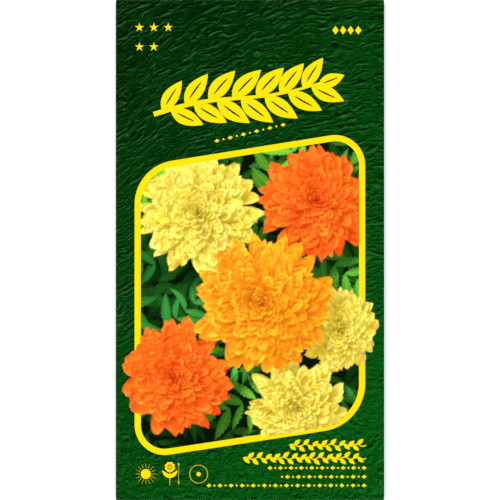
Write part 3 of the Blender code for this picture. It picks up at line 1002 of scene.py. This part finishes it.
picture_ink, tree, shader = satin_surface("picture_ink", *PRINT_COAT)
place = in_mm(tree)
printed = put(tree, "ShaderNodeAttribute", {}, attribute_name="print").outputs["Color"]
density = ranged(tree, speckle(tree, place, 2.4, 3.0, 0.6), 0.3, 0.7)
thin = blend(tree, 1.0, printed, (0.94, 0.94, 0.94, 1), "MULTIPLY")
tree.links.new(blend(tree, density, thin, printed), shader.inputs["Base Color"])
paper_grain(tree, shader, place, 0.5)


UNDER_STEP = 1.6 * MM  # how coarse a picture's underside is


def points_in(data):
    """A mesh's points, as rows of x, y and z."""
    flat = np.empty(len(data.vertices) * 3)
    data.vertices.foreach_get("co", flat)
    return flat.reshape(-1, 3)


def print_picture(name, loops, spots, step, lift, seed):
    """Prints a part of the picture: a film whose every point carries the colour it shows."""
    data = film(name, loops, step, spots, UNDER_STEP)
    places = points_in(data)[:, :2]
    draw = np.random.default_rng(seed)
    total = np.zeros((len(places), 3))
    for _ in range(LOOKS):
        total += bunch_colours(places + draw.uniform(-0.5, 0.5, places.shape) * step, draw)
    shown = np.ones((len(places), 4), np.float32)
    shown[:, :3] = total / LOOKS
    data.attributes.new("print", "FLOAT_COLOR", "POINT").data.foreach_set("color", shown.ravel())
    print_piece(name, data, lay_ink, picture_ink, lift)


blossom_edges = []
for number, (_, place, *_, over) in enumerate(BLOSSOMS):
    edge = blossom_edge(number)
    if not over:
        edge = kept_inside(edge, at(*place), window)
    blossom_edges.append(edge)
    spots = inner_spots([edge], INK_STEP)
    lift = BLOSSOM_LIFT if over else PICTURE_LIFT + BLOSSOM_STEP * (1 + number)
    print_picture(f"ink_blossom_{number + 1}", [edge], spots, 2 * INK_STEP, lift, 41 + number)

UNDER_BLOSSOM = 0.955  # how much of a blossom's reach the foliage's fine ink leaves out


def well_under_blossoms(spots):
    """Which spots a blossom's own film covers, with room to spare."""
    covered = np.zeros(len(spots), bool)
    for (_, place, *_), edge in zip(BLOSSOMS, blossom_edges):
        covered |= inside([at(*place) + (edge - at(*place)) * UNDER_BLOSSOM], spots)
    return covered


fine = inner_spots([window], INK_STEP, lambda spots: ~well_under_blossoms(spots))
wide = inner_spots([window], 1.2 * MM, well_under_blossoms)
print_picture("ink_foliage", [window], np.concatenate([fine, wide]), 0.4 * MM, PICTURE_LIFT, 40)

# The yellow inks. The border round the picture is one band whose long sides slant. The stars, growing
# signs and ornaments are printed in the same yellow, with a small dense orange for one ring. Marks that
# repeat are one mark, set out at places with a turn and a size.
MARK_STEP = 0.8 * MM
MARK_LIFT = 0.010 * MM
STEM_LIFT = 0.018 * MM  # of a line printed over the feet of the leaves that it joins
BORDER_LIFT = 0.015 * MM


def flat_ink(name, colour):
    """An opaque ink of one colour, a little uneven in how thickly it lies."""
    made, tree, shader = satin_surface(name, *PRINT_COAT)
    place = in_mm(tree)
    thick = ranged(tree, speckle(tree, place, 1.4, 4.0, 0.6), 0.3, 0.7)
    thin = tuple(0.93 * part + 0.002 for part in colour)
    tree.links.new(blend(tree, thick, (*thin, 1), (*colour, 1)), shader.inputs["Base Color"])
    paper_grain(tree, shader, place, 0.5)
    return made


yellow_ink = flat_ink("yellow_ink", (0.87, 0.675, 0.0015))
orange_ink = flat_ink("orange_ink", (0.70, 0.20, 0.004))


def carried(tree, label):
    """What points carry under a label."""
    return put(tree, "GeometryNodeInputNamedAttribute", {"Name": label}, data_type="FLOAT").outputs[0]


def set_out(tree, points, pattern, along, aside):
    """Sets a pattern out at points, with the turn that each carries and stretched along and aside."""
    shape = put(tree, "GeometryNodeObjectInfo", {"Object": pattern}).outputs["Geometry"]
    placed = put(tree, "GeometryNodeInstanceOnPoints", {
        "Points": points,
        "Instance": shape,
        "Rotation": point_of(tree, z=carried(tree, "turn")),
        "Scale": point_of(tree, along, aside, 1.0),
    })
    return put(tree, "GeometryNodeRealizeInstances", {"Geometry": placed.outputs[0]}).outputs[0]


def repeat_tree():
    """Sets one mark out at points that carry a turn and a size, then lays them on the paper."""
    tree, given = start_tree("repeat_mark_on_paper", Mark="Object", **LAYING)
    size = carried(tree, "size")
    marks = set_out(tree, given["Geometry"], given["Mark"], size, size)
    inputs = {"Geometry": marks, **{label: given[label] for label in LAYING}}
    laid = put(tree, "GeometryNodeGroup", inputs, node_tree=lay_ink).outputs[0]
    return end_tree(tree, laid, given["Ink"])


repeat_mark = repeat_tree()


def point_cloud(name, rows, *labels):
    """Loose points, one for each row of x, y and z, that carry the rest of the row under labels."""
    rows = np.array(rows, float)
    data = bpy.data.meshes.new(name)
    data.from_pydata(rows[:, :3].tolist(), [], [])
    for number, label in enumerate(labels, start=3):
        data.attributes.new(label, "FLOAT", "POINT").data.foreach_set("value", rows[:, number].copy())
    return data


def print_shape(name, loops, step=MARK_STEP, lift=MARK_LIFT, side=1, ink=yellow_ink):
    """Prints one shape, given as loops of places on the packet."""
    print_piece(name, film(name, loops, step), lay_ink, ink, lift, side)


def print_marks(name, loops, places, lift=MARK_LIFT, side=1, ink=yellow_ink):
    """Prints one mark at many places, each x and y, with a turn and a size where they aren't 0 and 1."""
    mark = in_scene(name + "_mark", film(name + "_mark", loops, MARK_STEP))
    rows = [(x, y, 0, *more, *(0, 1)[len(more) :]) for x, y, *more in places]
    points = point_cloud(name + "_places", rows, "turn", "size")
    print_piece(name, points, repeat_mark, ink, lift, side, Mark=mark)
    bpy.data.objects.remove(mark)


border_loops = [rounded(BORDER_CORNERS, BORDER_RADII), rounded(BORDER_CORNERS, BORDER_RADII, BORDER_WIDTH)]
print_shape("ink_border", border_loops, 0.6 * MM, BORDER_LIFT)


def circle(radius, count=32):
    """A closed ring of points round the middle."""
    return around(round_turns(count), radius)


def spiked(points, outer, inner):
    """A star's outline, with a point straight up."""
    turns = math.pi / 2 + np.arange(2 * points) * math.pi / points
    return around(turns, np.where(np.arange(2 * points) % 2, inner, outer))


def lozenge(length, breadth):
    """A diamond with its long way along X."""
    return np.array([(length / 2, 0), (0, breadth / 2), (-length / 2, 0), (0, -breadth / 2)])


stars = [at(*pixel) for pixel in ((139.5, 27.6), (153.9, 27.6), (168.3, 27.6), (139.5, 47.0), (153.9, 47.0))]
print_marks("ink_stars", [spiked(5, 4.9 * PIXEL, 1.76 * PIXEL)], stars)
corner_places = [at(across, 30.4) for across in (335.4, 343.0, 350.6, 358.2)]
print_marks("ink_corner_lozenges", [lozenge(6.4 * PIXEL, 8.6 * PIXEL)], corner_places)

# The leafy sprig above the picture, a plain printer's ornament. A stem rises to the right with bold
# leaves to each side, each cut by a thin midrib, and a row of dots and lozenges runs below it.
SPRIG_START = at(157, 113.5)
SPRIG_RISE = math.radians(10.5)
SPRIG_LENGTH = 166 * PIXEL
SPRIG_SWAY = 3.0 * PIXEL
SPRIG_LEAVES = 7
SPRIG_LEAN = math.radians(47)
SPRIG_LEAF = (38 * PIXEL, 16.4 * PIXEL, -0.10, 1.7 * PIXEL)  # its length, breadth, bend and midrib
SPRIG_TIP = (28 * PIXEL, 13.5 * PIXEL, 0.0, 1.5 * PIXEL)


def sprig_point(share):
    """A point on the sprig's stem, and the way the stem runs there."""
    out, sway = share * SPRIG_LENGTH, SPRIG_SWAY * math.sin(2 * math.pi * share)
    slope = SPRIG_SWAY * 2 * math.pi * math.cos(2 * math.pi * share) / SPRIG_LENGTH
    c, s = math.cos(SPRIG_RISE), math.sin(SPRIG_RISE)
    return SPRIG_START + np.array([out * c - sway * s, out * s + sway * c]), SPRIG_RISE + math.atan(slope)


def band(points, widths):
    """The outline of a line with a width at each point."""
    points, widths = np.asarray(points, float), np.asarray(widths, float)
    ahead = np.gradient(points, axis=0)
    ahead /= np.linalg.norm(ahead, axis=1, keepdims=True)
    aside = leftward(ahead) * widths[:, None] / 2
    return np.concatenate([points - aside, (points + aside)[::-1]])


def leaf_loops(length, breadth, bend, rib=0.0):
    """A pointed leaf from its foot at 0 along X, curved. A midrib as broad as rib may be left bare in it."""
    share = np.linspace(0, 1, 17)
    line = np.stack([length * share, bend * length * share**2], 1)
    half = np.stack([0 * share, breadth / 2 * np.sin(math.pi * share**0.85) ** 0.9], 1)
    loops = [np.array([line[0], *(line - half)[1:], *(line + half)[1:-1][::-1]])]
    if rib:
        swell = np.sin(math.pi * np.clip((share - 0.16) / 0.62, 0, 1)) ** 0.6
        thin = np.stack([0 * share, rib / 2 * swell], 1)
        loops.append(np.array([line[3], *(line + thin)[4:12], line[12], *(line - thin)[4:12][::-1]]))
    return loops


stem = [sprig_point(share)[0] for share in np.linspace(-0.02, 1.0, 60)]
stem_loop = band(stem, np.linspace(5.0, 2.2, len(stem)) * PIXEL)
print_shape("ink_sprig_stem", [stem_loop], lift=STEM_LIFT)
for name, hand in (("ink_sprig_leaves_above", 1), ("ink_sprig_leaves_below", -1)):
    places = []
    for i in range(SPRIG_LEAVES):
        place, way = sprig_point((i + (0.60 if hand < 0 else 0.25)) / SPRIG_LEAVES)
        size = 0.92 + 0.14 * math.sin(math.pi * (i + 0.5) / SPRIG_LEAVES)
        places.append((*place, way + hand * SPRIG_LEAN, size))
    print_marks(name, [loop * (1, hand) for loop in leaf_loops(*SPRIG_LEAF)], places)
tip, way = sprig_point(1.0)
tip_place = (*(tip - 2 * PIXEL), way + math.radians(4))
print_marks("ink_sprig_tip", leaf_loops(*SPRIG_TIP), [tip_place], 2 * STEM_LIFT - MARK_LIFT)

RULE_TURN = math.radians(13.6)
rule = [at(217 + 6.6 * i, 141 - 1.6 * i) for i in range(11)]
rule_lozenges = [(*place, RULE_TURN) for place in rule[::2]]
print_marks("ink_rule_lozenges", [lozenge(5.4 * PIXEL, 3.6 * PIXEL)], rule_lozenges)
print_marks("ink_rule_dots", [circle(0.95 * PIXEL, 14)], rule[1::2])

# The ornaments below the picture, ranged to the right. Two bold running garlands, then three fine rows
# of lozenges and dots.
GARLANDS = (
    # where each starts and ends, and how far down it runs, in pixels
    (289, 366, 445),
    (243, 366, 458),
)
GARLAND_WAVE = 12  # about how long a wave of its stem is, in pixels
GARLAND_SWING = 1.1  # and how far it swings to each side
GARLAND_SPACING = 4.4
GARLAND_END = 5  # how much of the stem's end is bare
FINE_ROWS = ((268, 366, 467.7), (280, 366, 476.6), (207, 366, 485.3))
FINE_SPACING = 5.6
FINE_SIZE = 0.9


def garland_point(start, end, middle, across):
    """The place on a garland's wavy stem that is so many pixels across."""
    waves = round((end - start) / GARLAND_WAVE)
    sway = GARLAND_SWING * math.sin(2 * math.pi * waves * (across - start) / (end - start))
    return at(across, middle - sway)


garland_leaves = []
for number, garland in enumerate(GARLANDS, start=1):
    start, end, _ = garland
    steps = 12 * round((end - start) / GARLAND_WAVE)
    line = [garland_point(*garland, across) for across in np.linspace(start, end, steps)]
    print_shape(f"ink_garland_stem_{number}", [band(line, [1.1 * PIXEL] * steps)], 0.5 * MM, STEM_LIFT)
    leafy = end - start - GARLAND_END
    count = round(leafy / GARLAND_SPACING)
    for i in range(count):
        turn = math.radians(42 if i % 2 else -42)
        garland_leaves.append((*garland_point(*garland, start + leafy * (i + 0.2) / count), turn, 0.95))
print_marks("ink_garland_leaves", leaf_loops(8.4 * PIXEL, 4.4 * PIXEL, 0.0), garland_leaves)

fine_places = ([], [])
for start, end, middle in FINE_ROWS:
    count = round((end - start) / FINE_SPACING)
    for i in range(count + 1):
        fine_places[i % 2].append((*at(end - 2 - i * (end - start - 4) / count, middle), 0, FINE_SIZE))
print_marks("ink_fine_lozenges", [lozenge(5.6 * PIXEL, 4.4 * PIXEL)], fine_places[0])
print_marks("ink_fine_dots", [circle(1.15 * PIXEL, 12)], fine_places[1])

# The growing signs at the lower left: a sun, a flower with an arrow for its height, and a ring with a
# dot for the seed's depth. Their finest lines are barely wider than a hair.
SUN = at(145.9, 473.9)
RAYS = 16
print_shape("ink_sun_disc", [SUN + circle(5.0 * PIXEL, 40)])
ray = np.array([(6.1, -0.17), (10.7, -0.09), (10.7, 0.09), (6.1, 0.17)]) * PIXEL
rays = [(*SUN, turn) for turn in round_turns(RAYS)]
print_marks("ink_sun_rays", [ray], rays)


def ring(centre, outer, inner, count):
    """The two loops of a flat ring."""
    return [centre + circle(outer, count), centre + circle(inner, count)[::-1]]


FLOWER_ACROSS = 169.9
FLOWER = at(FLOWER_ACROSS, 466.8)
LEAVES_SPAN = 7.6 * PIXEL  # how far out the sign's two leaves reach
LEAVES_TIP = -3.0 * PIXEL  # how far above the flower's middle their tips are, their fork and their foot
LEAVES_FORK = -7.6 * PIXEL
LEAVES_FOOT = -11.0 * PIXEL
turns = round_turns(80)
flower_edge = FLOWER + around(turns, (4.5 + 0.8 * np.abs(np.cos(4 * turns + math.pi / 2))) * PIXEL)
print_shape("ink_flower_head", [flower_edge, FLOWER + circle(2.7 * PIXEL, 24)[::-1]], 0.5 * MM)
print_shape("ink_flower_ring", ring(FLOWER, 2.45 * PIXEL, 1.5 * PIXEL, 24), ink=orange_ink)
print_shape("ink_flower_eye", [FLOWER + circle(1.25 * PIXEL, 16)])
sweep = np.linspace(math.pi, 2 * math.pi, 24)
share = np.linspace(1, -1, 17)[1:-1]
forked = LEAVES_TIP + (LEAVES_FORK - LEAVES_TIP) * (1 - np.abs(share)) ** 0.85
boat = [
    *np.stack([LEAVES_SPAN * np.cos(sweep), LEAVES_TIP + (LEAVES_TIP - LEAVES_FOOT) * np.sin(sweep)], 1),
    *np.stack([LEAVES_SPAN * share, forked], 1),
]
print_shape("ink_flower_leaves", [FLOWER + np.array(boat)], 0.5 * MM)
for name, top, foot, broad in (
    ("ink_flower_neck", 472.1, 475.1, 0.85),
    ("ink_flower_stem", 477.6, 484.8, 0.52),
):
    line = band([at(FLOWER_ACROSS, top), at(FLOWER_ACROSS, foot)], [broad * PIXEL] * 2)
    print_shape(name, [line], lift=STEM_LIFT)

HEIGHT_ACROSS, HEIGHT_TOP, HEIGHT_FOOT = 178.7, 463.5, 483.0
height_ends = [at(HEIGHT_ACROSS, HEIGHT_TOP + 0.1), at(HEIGHT_ACROSS, HEIGHT_FOOT - 0.1)]
print_shape("ink_height_line", [band(height_ends, [0.30 * PIXEL] * 2)])
arrow = np.array([(1.5, 0), (-1.5, 0.98), (-1.5, -0.98)]) * PIXEL
upward = (*at(HEIGHT_ACROSS, HEIGHT_TOP), math.pi / 2)
downward = (*at(HEIGHT_ACROSS, HEIGHT_FOOT), -math.pi / 2)
print_marks("ink_height_points", [arrow], [upward, downward])

DEPTH = at(198.7, 473.9)
print_shape("ink_depth_ring", ring(DEPTH, 9.22 * PIXEL, 8.72 * PIXEL, 56))
print_shape("ink_depth_dot", [DEPTH + circle(2.2 * PIXEL, 24)])

# The print on the back, none of which the photograph shows. On the outer wing, a plain yellow panel
# holds a rosette of the same leaves, fine rows, and a strip of twelve boxes for the months, three of
# them filled for sowing and four half filled for bloom.
left, right, low, high = -1.5 * MM, 35.5 * MM, -50 * MM, 50 * MM
PANEL_LINE = 0.6 * MM
panel = np.array([(left, low), (right, low), (right, high), (left, high)])
panel_radii = (3 * MM,) * 4
panel_loops = [rounded(panel, panel_radii), rounded(panel, panel_radii, PANEL_LINE)]
print_shape("ink_back_panel", panel_loops, 0.6 * MM, side=-1)

ROSETTE = np.array([(left + right) / 2, 30 * MM])
ROSETTE_LEAVES = 10
rosette_leaf = [loop + (2.3 * MM, 0) for loop in leaf_loops(8.6 * MM, 3.0 * MM, 0.0, 0.4 * MM)]
rosette = [(*ROSETTE, turn) for turn in round_turns(ROSETTE_LEAVES)]
print_marks("ink_back_rosette", rosette_leaf, rosette, side=-1)
print_shape("ink_back_rosette_eye", [ROSETTE + circle(1.5 * MM, 24)], side=-1)

ROWS = 9
ROWS_START = (right - 4 * MM, 12 * MM)
ROW_STEP, ROW_PITCH = 1.8 * MM, 3.6 * MM
back_rows = []
for row in range(ROWS):
    y = ROWS_START[1] - row * ROW_PITCH
    back_rows += [(ROWS_START[0] - i * ROW_STEP, y) for i in range(11 if row % 3 == 2 else 17)]
print_marks("ink_back_rows", [lozenge(1.35 * MM, 0.9 * MM)], back_rows, side=-1)

BOX = (2.25 * MM, 4.4 * MM)
BOX_LINE = 0.18 * MM
BOX_PITCH = 2.75 * MM
BOXES_Y = -34 * MM
box = np.array([(-0.5, -0.5), (0.5, -0.5), (0.5, 0.5), (-0.5, 0.5)]) * BOX
months = [(ROSETTE[0] + (i - 5.5) * BOX_PITCH, BOXES_Y) for i in range(12)]
print_marks("ink_month_boxes", [box, inset(box, BOX_LINE)[::-1]], months, side=-1)
print_marks("ink_months_to_sow", [box * 0.66], [months[i] for i in (9, 8, 7)], side=-1)
in_bloom = [months[i] for i in (5, 4, 3, 2)]
print_marks("ink_months_in_bloom", [box * (0.66, 0.28)], in_bloom, side=-1, ink=orange_ink)

# The glue. A strip holds the two wings together at the seam, and one holds each flap down. It is a
# milky adhesive, rolled on and dried, with small dimples.
dried_glue, tree, shader = satin_surface("dried_glue", 0.4, 0.5)
place = in_mm(tree)
cloud = ranged(tree, speckle(tree, place, 0.8, 3.0), 0.3, 0.7)
milky = blend(tree, cloud, (0.76, 0.72, 0.58, 1), (0.86, 0.83, 0.72, 1))
tree.links.new(milky, shader.inputs["Base Color"])
dimples = put(tree, "ShaderNodeTexVoronoi", {"Vector": place, "Scale": 1.6}).outputs["Distance"]
embossed(tree, shader, dimples, 0.4, 0.03 * MM)
tree.links.new(ranged(tree, cloud, 0, 1, 0.34, 0.52), shader.inputs["Roughness"])
for name in ("glue_back_seam", "glue_bottom_flap", "glue_top_flap"):
    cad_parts[name].material_slots[0].material = dried_glue

# The seeds. Each is a dark, dry, ribbed fruit, as long as a grain of rice and thinner, with a flared
# tuft of straw-coloured scales at one end. They lie loose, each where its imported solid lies.
SEED_LENGTH = 11.2 * MM
SEED_BODY = (
    # along the seed, half width and half thickness, in mm
    (0.00, 0.09, 0.08),
    (0.30, 0.19, 0.16),
    (1.20, 0.37, 0.29),
    (2.60, 0.45, 0.34),
    (4.20, 0.51, 0.37),
    (5.80, 0.49, 0.36),
    (7.00, 0.46, 0.34),
    (7.65, 0.37, 0.28),
    (8.00, 0.28, 0.21),
    (8.12, 0.12, 0.09),
)
SEED_FULLEST = 4.2 * MM
SEED_RIBS = 8
RIB_POINTS = 3
TUFT_SCALES = 7
TUFT_FOOT = 7.8 * MM
TUFT_STEPS = 5


def skin(rings):
    """Faces over rings of points, one after another, with a cap at each end."""
    size = len(rings[0])
    faces = [tuple(range(size))[::-1], tuple(range((len(rings) - 1) * size, len(rings) * size))]
    for row in range(len(rings) - 1):
        for i in range(size):
            j = (i + 1) % size
            faces.append(tuple(row * size + k for k in (i, j, size + j, size + i)))
    return faces


def seed_pattern():
    """One straight seed along X with its middle at the origin, and marks for its length and its tuft."""
    turns = round_turns(SEED_RIBS * RIB_POINTS)
    rib = 1 - 0.08 * (1 - np.cos(SEED_RIBS * turns))
    round_it = [
        np.stack([0 * turns + along, width * rib * np.cos(turns), thick * rib * np.sin(turns)], 1) * MM
        for along, width, thick in SEED_BODY
    ]
    points, faces, tuft = np.concatenate(round_it), skin(round_it), [0.0] * len(turns) * len(SEED_BODY)
    for turn in round_turns(TUFT_SCALES) + 0.2:  # each scale runs outwards and thins to its tip
        reach = (SEED_LENGTH - TUFT_FOOT) * (0.86 + 0.14 * math.cos(3 * turn) ** 2)
        rings = []
        for share in np.linspace(0, 1, TUFT_STEPS):
            middle = np.array([
                TUFT_FOOT + reach * share,
                math.cos(turn) * (0.19 + 0.46 * share) * MM,
                math.sin(turn) * (0.15 - 0.06 * share) * MM,
            ])
            broad = np.array([0, -math.sin(turn), math.cos(turn) * 0.6]) * (0.115 - 0.095 * share) * MM
            thin = np.array([0, math.cos(turn), math.sin(turn)]) * (0.028 - 0.016 * share) * MM
            rings.append(np.array([middle - thin, middle + broad, middle + thin, middle - broad]))
        faces += [tuple(i + len(points) for i in face) for face in skin(rings)]
        points = np.concatenate([points, *rings])
        tuft += [1.0] * 4 * TUFT_STEPS
    share = points[:, 0] / SEED_LENGTH
    data = bpy.data.meshes.new("seed_pattern")
    data.from_pydata((points - (SEED_LENGTH / 2, 0, 0)).tolist(), [], faces)
    for name, values in (("share", share), ("tuft", np.array(tuft))):
        data.attributes.new(name, "FLOAT", "POINT").data.foreach_set("value", values)
    tidy = bmesh.new()
    tidy.from_mesh(data)
    bmesh.ops.recalc_face_normals(tidy, faces=tidy.faces)
    tidy.to_mesh(data)
    tidy.free()
    return data


def seed_tree():
    """Sets one seed out at points that carry its turn, its stretch and its bow, and bends it aside."""
    tree, given = start_tree("lay_loose_seeds", Seed="Object", Coat="Material")
    seeds = set_out(tree, given["Geometry"], given["Seed"], carried(tree, "stretch"), 1.0)
    from_middle = reckoned(tree, "MULTIPLY_ADD", carried(tree, "share"), 2.0, -1.0)
    fullness = reckoned(tree, "SUBTRACT", 1.0, reckoned(tree, "MULTIPLY", from_middle, from_middle))
    aside = reckoned(tree, "MULTIPLY", carried(tree, "bow"), fullness)
    back = reckoned(tree, "MULTIPLY", aside, -1.0)
    turn = carried(tree, "turn")
    right = reckoned(tree, "MULTIPLY", reckoned(tree, "SINE", turn), back)
    up = reckoned(tree, "MULTIPLY", reckoned(tree, "COSINE", turn), aside)
    bent = {"Geometry": seeds, "Offset": point_of(tree, right, up)}
    return end_tree(tree, put(tree, "GeometryNodeSetPosition", bent).outputs[0], given["Coat"])


def lying_seed(name):
    """How a packed seed lies: its middle, its turn, its stretch and its bow. Its tuft is its broad end."""
    points = np.unique(np.round(points_in(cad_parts[name].data), 7), axis=0)
    level = points[:, :2] - points[:, :2].mean(0)
    way = np.linalg.svd(level, full_matrices=False)[2][0]
    along = level @ way
    foot, tuft = points[along < along.min() + 0.1 * MM], points[along > along.max() - 0.1 * MM]
    if np.ptp(foot, axis=0).max() > np.ptp(tuft, axis=0).max():
        foot, tuft = tuft, foot
    foot, tuft = foot.mean(0), tuft.mean(0)
    chord = (tuft - foot)[:2]
    length = np.linalg.norm(chord)
    ahead = chord / length
    share = (points[:, :2] - foot[:2]) @ ahead / length
    fullest = SEED_FULLEST / SEED_LENGTH
    full = points[np.abs(share - fullest) < 0.01][:, :2].mean(0) - foot[:2]
    bow = (full @ np.array([-ahead[1], ahead[0]])) / (1 - (2 * fullest - 1) ** 2)
    return (*(foot + tuft) / 2, math.atan2(ahead[1], ahead[0]), length / SEED_LENGTH, bow)


seed_coat, tree, shader = satin_surface("seed_coat", 0.6, 0.35)
place = in_mm(tree)
flecks = ranged(tree, speckle(tree, place, 2.6, 4.0, 0.65), 0.32, 0.70)
husk = blend(tree, flecks, (0.014, 0.010, 0.008, 1), (0.070, 0.046, 0.028, 1))
straw = blend(tree, flecks, (0.40, 0.28, 0.14, 1), (0.64, 0.50, 0.29, 1))
tufted = put(tree, "ShaderNodeAttribute", {}, attribute_name="tuft").outputs["Fac"]
tree.links.new(blend(tree, tufted, husk, straw), shader.inputs["Base Color"])
embossed(tree, shader, flecks, 0.5, 0.04 * MM)
tree.links.new(ranged(tree, flecks, 0, 1, 0.52, 0.72), shader.inputs["Roughness"])

seed_names = sorted(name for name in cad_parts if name.startswith("seed_"))
seed_rows = [lying_seed(name) for name in seed_names]
seed_points = point_cloud("seed_places", seed_rows, "turn", "stretch", "bow")
seed_object = in_scene("seed_pattern", seed_pattern())
loose_seeds = grow("seeds_loose", seed_points, seed_tree(), Seed=seed_object, Coat=seed_coat)
bpy.data.objects.remove(seed_object)
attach(loose_seeds, "root")
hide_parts(*seed_names)
